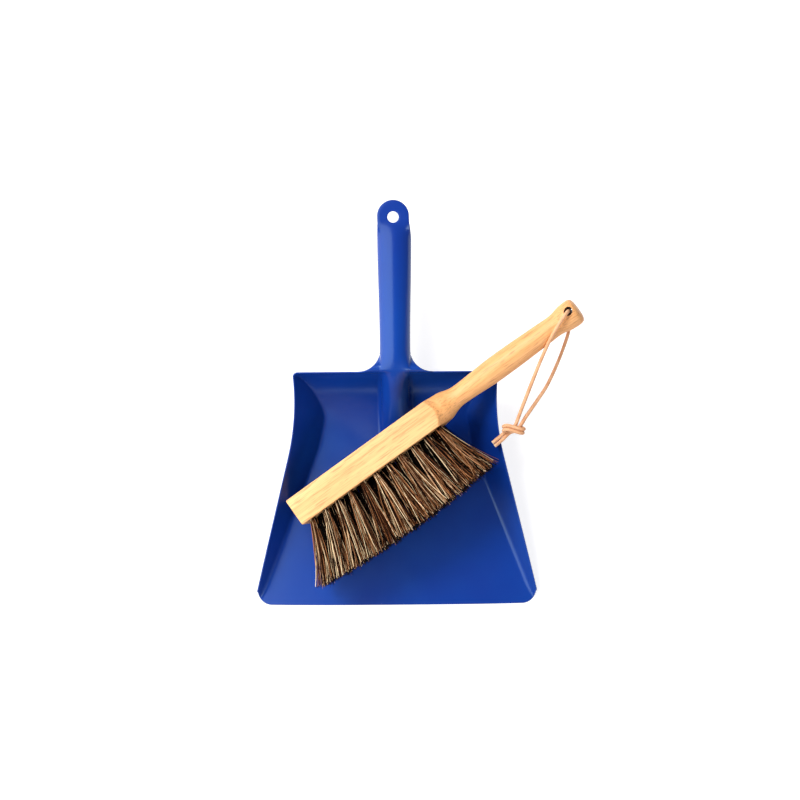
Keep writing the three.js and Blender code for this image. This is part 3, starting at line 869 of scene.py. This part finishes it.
def stock_section(y, angles, easing):
    """Radius in each direction: the turned outline cut by the block's four sides, less the easing."""
    cos = np.cos(angles)
    sin = np.sin(angles)
    faces = np.where(cos > 0, STOCK_HIGH_X, -STOCK_LOW_X) - easing
    flat = faces / np.maximum(np.abs(cos), 1e-6)
    side = (STOCK_DEPTH / 2 - easing) / np.maximum(np.abs(sin), 1e-6)
    block = smooth_min(np.minimum(flat, FAR), np.minimum(side, FAR), EDGE_BLEND)
    turned = through(TURNED, y) - easing if y > TURNED[0][0] else TURNED[0][1] - easing
    return smooth_min(block, np.full_like(block, turned), SHOULDER_BLEND)


def add_stock(material):
    """Stock from the block's eased end, as (y, easing) rows, over the handle to its domed end."""
    angles = stock_angles()
    shoulder, neck = SHOULDER_ROWS_Y
    body = np.concatenate([
        np.linspace(EASED_END[-1][0], shoulder, 56)[1:],
        np.linspace(shoulder, neck, 51)[1:],
        np.linspace(neck, DOME_Y, 86)[1:],
    ])
    dome = [y for y, _ in TURNED if y > DOME_Y]
    rows = EASED_END + [(y, 0) for y in body] + [(y, 0) for y in dome]
    points = [(0, 0, 0)]
    for y, easing in rows:
        radii = stock_section(y, angles, easing)
        points.extend(zip(radii * np.cos(angles), np.full_like(radii, y), radii * np.sin(angles)))
    points.append((0, STOCK_END_Y, 0))
    columns = len(angles)
    faces = []
    for k in range(columns):
        after = (k + 1) % columns
        faces.append((0, 1 + k, 1 + after))
        faces.append((len(points) - 1, len(points) - 1 - columns + after, len(points) - 1 - columns + k))
    for row in range(len(rows) - 1):
        for k in range(columns):
            a = 1 + row * columns + k
            b = 1 + row * columns + (k + 1) % columns
            faces.append((a, a + columns, b + columns, b))
    stock = make_piece("stock_turned", points, faces, material)
    cut_holes(stock)
    stock.data.set_sharp_from_angle(angle=rad(38))
    add_to_brush(stock, "brush_stock")


def drill(centre, way, profile, sides):
    """Turned cutter: profile is (distance along way, radius) from one end to the other."""
    way = Vector(way)
    side = way.orthogonal().normalized()
    other = way.cross(side)
    points = []
    for distance, radius in profile:
        for k in range(sides):
            angle = 2 * math.pi * k / sides
            spoke = (side * math.cos(angle) + other * math.sin(angle)) * radius
            points.append(Vector(centre) + way * distance + spoke)
    return points, ring_faces(len(profile), sides)


def cut_holes(stock):
    """Bores the tuft holes and the hanging hole, each with a slightly broken edge."""
    # A drill's pointed end, the bore, and a flare at the mouth.
    wide = TUFT_HOLE_RADIUS + 0.75
    profile = [
        (-TUFT_HOLE_DEPTH, 0.6), (-TUFT_HOLE_DEPTH + 1.4, TUFT_HOLE_RADIUS),
        (-0.35, TUFT_HOLE_RADIUS), (0.4, wide), (4, wide),
    ]
    drills = [
        drill((STOCK_HIGH_X, *place["hole"]), (1, 0, 0), profile, sides=20) for place in tuft_places()
    ]
    mouth = 9  # distance of the hanging hole's mouths from its middle
    wide = HANG_RADIUS + 1.2
    profile = [
        (-2 * mouth, wide), (-mouth - 1, wide), (-mouth, HANG_RADIUS),
        (mouth, HANG_RADIUS), (mouth + 1, wide), (2 * mouth, wide),
    ]
    slant = Vector((-HANG_SLANT[0], -HANG_SLANT[1], mouth)).normalized()
    middle = (HANG_X + HANG_SLANT[0], HANG_Y + HANG_SLANT[1], 0)
    drills.append(drill(middle, slant, profile, sides=36))
    points = []
    faces = []
    for some_points, some_faces in drills:
        faces += [tuple(k + len(points) for k in face) for face in some_faces]
        points += [tuple(point) for point in some_points]
    # The drills carry the holes' painted shade onto the faces they cut.
    bore = shaded_bore_material()
    cutter = make_piece("drills", points, faces, bore)
    stock.data.materials.append(bore)
    cut = stock.modifiers.new("holes", "BOOLEAN")
    cut.operation = "DIFFERENCE"
    cut.solver = "EXACT"
    cut.material_mode = "TRANSFER"
    cut.object = cutter
    bpy.context.view_layer.update()
    evaluated = stock.evaluated_get(bpy.context.evaluated_depsgraph_get())
    bored = bpy.data.meshes.new_from_object(evaluated)
    stock.modifiers.clear()
    stock.data = bored
    bpy.data.objects.remove(cutter)


STRANDS = 145  # hairs in a tuft
STRAND_SIDES = 3
FAN_START = 0.12  # share of a hair's length before it leaves its hole and fans out
STRAND_RINGS = np.array([0, FAN_START, 0.22, 0.33, 0.44, 0.55, 0.66, 0.77, 0.89, 1])
CLUMPS = 24  # bundles of hairs that stay together in a tuft
CLUMP_SPREAD = 0.22  # scatter of a bundle's hairs, as a share of the tuft's radius
TIP_SPREAD = 0.07  # and their further scatter at the tips
SQUARENESS = 0.6  # how square the tuft has become at its tips
ROOT_DEPTH = 6  # the hairs start this deep in their holes
LENGTH_ERROR = 0.75  # scatter of the hairs' trimmed ends
TIP_CROWN = 0.9  # how much shorter the hairs at a tuft's sides are
WANDERERS = 0.07  # share of the hairs that end anywhere in their tuft
OUTLIERS_FROM = 0.97  # hairs whose draw is above this one stick out of their tuft
SWAY = 0.6  # sideways bend of a hair
STRAY_SWAY = 1.5
RIPPLE = 0.2  # small waves along a hair, and how fast they follow each other
RIPPLE_RATE = 9
HAIR_RADIUS = (0.15, 0.185)
BLOND_EXTRA = 0.12  # blond hairs are this much thicker
TUFT_TONE_SPREAD = 0.03
CLUMP_TONE_SPREAD = 0.09
FIRST_SEED = 4100
# Painted shade: the middle and lower rows' hairs are darker, standing in for the shadow inside the brush.
ROW_PAINTED_SHADE = {"upper": 0, "middle": 0.2, "lower": 0.12}  # how much darker a row's hairs are
STRAY = 0.07  # share of the hairs that curve across their neighbours


def strand_tone(random, tuft_tone, row):
    """Mostly black and dark brown hair, some of it mid-brown and a little of it blond, with painted shade
    in the middle and lower rows.
    """
    kind = random.random()
    # Painted shade: more of a shaded row's hairs are dark, and its dark and brown hairs are darker.
    kind *= 1 - 1.6 * ROW_PAINTED_SHADE[row]
    tuft_tone -= ROW_PAINTED_SHADE[row]
    if kind < 0.64:
        return random.uniform(0, 0.4) + tuft_tone
    if kind < 0.87:
        return random.uniform(0.4, 0.68) + tuft_tone
    if kind < 0.95:
        return random.uniform(0.68, 0.84)
    return random.uniform(0.94, 1)


def pan_top(x, y):
    """Height of the pan's upper surface, or of the ground where there is none below (x, y)."""
    if abs(x) > rim_half(y) or y < FRONT_Y:
        return 0
    foot, rim = side_wall(y)
    return HALF + float(np.interp(abs(x), [foot[0], rim[0]], [foot[1], rim[1]]))


def strand_path(place, clump, random, stray):
    """One hair from inside its hole to its trimmed tip, in its place in the bundle as that fans out."""
    hole_y, hole_z = place["hole"]
    tip_x, tip_y, tip_z = place["tip"]
    # Places in the bundle: round at its root, squarer where it has fanned out, outside it for some hairs.
    root = clump + random.normal(0, CLUMP_SPREAD, 2)
    root /= max(np.linalg.norm(root), 1)
    square = root / max(np.abs(root).max(), 1e-6) * np.linalg.norm(root)
    spread = lerp(root, square, SQUARENESS) + random.normal(0, TIP_SPREAD, 2)
    length_error = random.normal(0, LENGTH_ERROR)
    wander = random.random()
    if stray or wander < WANDERERS:
        spread = random.uniform(-1.25, 1.25, 2)
    if wander > OUTLIERS_FROM:
        spread *= random.uniform(1.15, 1.45)
        length_error += random.uniform(-4, 2.6)
    tip = np.array([
        tip_x + length_error - TIP_CROWN * spread[0] ** 2,
        tip_y + spread[0] * TIP_PITCH / 2,
        tip_z + spread[1] * TIP_HALF_DEPTH,
    ])
    reach = TUFT_HOLE_RADIUS - 0.6
    start = np.array([STOCK_HIGH_X - ROOT_DEPTH, hole_y + root[0] * reach, hole_z + root[1] * reach])
    t = STRAND_RINGS
    fan_share = np.clip((t - FAN_START) / (1 - FAN_START), 0, 1)
    fan = fan_share ** random.uniform(1.05, 1.35)
    path = np.outer(1 - fan, start) + np.outer(fan, tip)
    path[:, 0] = lerp(start[0], tip[0], t)
    bow = np.sin(np.pi * fan_share**0.9)
    sway = STRAY_SWAY if stray else SWAY
    path[:, 1] += bow * random.normal(0, sway)
    path[:, 2] += bow * random.normal(0, sway)
    ripple = random.normal(0, RIPPLE, 2)
    phase = random.uniform(0, 2 * math.pi)
    path[:, 1] += fan * ripple[0] * np.sin(RIPPLE_RATE * t + phase)
    path[:, 2] += fan * ripple[1] * np.cos(RIPPLE_RATE * t + phase)
    return path


def rest_on_pan(path, thickness, turn):
    """A path in the brush's frame, with whatever would be below the pan's surface lifted onto it."""
    start = np.array(BLOCK_END)
    points = path @ turn.T + start
    for point in points:
        point[2] = max(point[2], pan_top(point[0], point[1]) + 1.5 * thickness)
    return (points - start) @ turn


def add_tufts(material):
    """Every tuft as separate hairs, each with its own tone, thickness and bend."""
    turn = np.array(brush_matrix().to_3x3())
    for number, place in enumerate(tuft_places()):
        random = np.random.default_rng(FIRST_SEED + number)
        row = place["name"].split("_")[0]
        tuft_tone = random.normal(0, TUFT_TONE_SPREAD)
        angles = random.uniform(0, 2 * math.pi, CLUMPS)
        reach = np.sqrt(random.random(CLUMPS)) * 0.95
        clumps = np.stack([np.cos(angles) * reach, np.sin(angles) * reach], axis=1)
        clump_tones = random.normal(0, CLUMP_TONE_SPREAD, CLUMPS)
        points = []
        faces = []
        tones = []
        for strand in range(STRANDS):
            clump = strand % CLUMPS
            tone = strand_tone(random, tuft_tone + clump_tones[clump], row)
            stray = random.random() < STRAY
            if stray:
                tone = random.uniform(0.4, 1)
            tone = min(max(tone, 0), 1)
            thickness = random.uniform(*HAIR_RADIUS) + BLOND_EXTRA * tone**4
            radii = thickness * lerp(1.0, 0.75, STRAND_RINGS)
            path = strand_path(place, clumps[clump], random, stray)
            some_points, some_faces = tube(rest_on_pan(path, thickness, turn), radii, STRAND_SIDES)
            faces += [tuple(k + len(points) * len(some_points) for k in face) for face in some_faces]
            points.append(some_points)
            tones += [tone] * len(some_points)
        tuft = make_piece(f"bristles_{place['name']}", np.vstack(points), faces, material)
        attribute = tuft.data.attributes.new("tone", "FLOAT", "POINT")
        attribute.data.foreach_set("value", tones)
        add_to_brush(tuft, f"tuft_{place['name']}")


# ---- thong ---------------------------------------------------------------------------------------------

SWELL_STEP = 12  # points of the path between two changes of the leather's thickness


def add_thong_half(name, route, nodes, material, seed):
    """One half of the thong, from the hanging hole through the knot to the cut end of its tail."""
    random = np.random.default_rng(seed)
    path = smooth_path(route, 0.9)
    count = len(path)
    swell_places = np.arange(0, count + SWELL_STEP, SWELL_STEP)
    swell_sizes = random.normal(0, 0.03, count // SWELL_STEP + 2)
    radii = THONG_RADIUS * (1 + np.interp(np.arange(count), swell_places, swell_sizes))
    radii[-1] *= 0.86
    points, faces = tube(path, radii, THONG_SIDES)
    thong = make_piece(name, points, faces, material)
    cut = np.zeros(len(points))
    cut[-THONG_SIDES:] = 1
    attribute = thong.data.attributes.new("cut", "FLOAT", "POINT")
    attribute.data.foreach_set("value", cut)
    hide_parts(*nodes)
    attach(thong, "hanging_loop")


# ---- studio --------------------------------------------------------------------------------------------

def add_floor():
    half = 15000
    points = [(-half, -half, 0), (half, -half, 0), (half, half, 0), (-half, half, 0)]
    floor = make_piece("studio_floor", points, [(0, 1, 2, 3)], floor_material())
    floor.location.z = -0.1 * MM


def add_softbox(name, centre, target, width, height, watts):
    """Rectangular light at centre, facing target, that the camera doesn't see; lengths in metres."""
    data = bpy.data.lights.new(name, "AREA")
    data.shape = "RECTANGLE"
    data.size = width
    data.size_y = height
    data.energy = watts
    light = bpy.data.objects.new(name, data)
    light.location = centre
    way = Vector(target) - Vector(centre)
    light.rotation_euler = way.to_track_quat("-Z", "Y").to_euler()
    light.visible_camera = False
    bpy.context.scene.collection.objects.link(light)


def add_lights():
    world = bpy.data.worlds.new("studio")
    world.use_nodes = True
    background = world.node_tree.nodes["Background"]
    background.inputs["Color"].default_value = (0.97, 0.93, 1, 1)
    background.inputs["Strength"].default_value = 0.17
    bpy.context.scene.world = world
    add_softbox("left_softbox", (-0.85, 0.2, 0.6), (-0.85, 0.2, 0), 1.5, 2.0, 24)
    add_softbox("left_panel", (-1.62, 0.2, 0.3), (0, 0.2, 0.3), 2.0, 0.6, 8)
    add_softbox("high_key", (-1.0, 1.1, 1.9), (0, 0.05, 0), 0.7, 0.7, 36)
    add_softbox("front_fill", (0.9, -1.3, 1.0), (0, 0.05, 0), 1.0, 0.8, 12)


# ---- the scene -----------------------------------------------------------------------------------------

add_camera()
leather = leather_material()
add_thong_half("thong_front_half", THONG_FRONT, ["thong_loop", "thong_tail_1"], leather, 7)
add_thong_half("thong_back_half", THONG_BACK, ["thong_knot", "thong_tail_2"], leather, 8)
add_pan(enamel_material())
add_stock(beech_material())
add_tufts(horsehair_material())

wire = wire_material()
for node_name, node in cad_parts.items():
    if node_name.startswith("anchor_"):
        node.data.materials.clear()
        node.data.materials.append(wire)

add_floor()
add_lights()
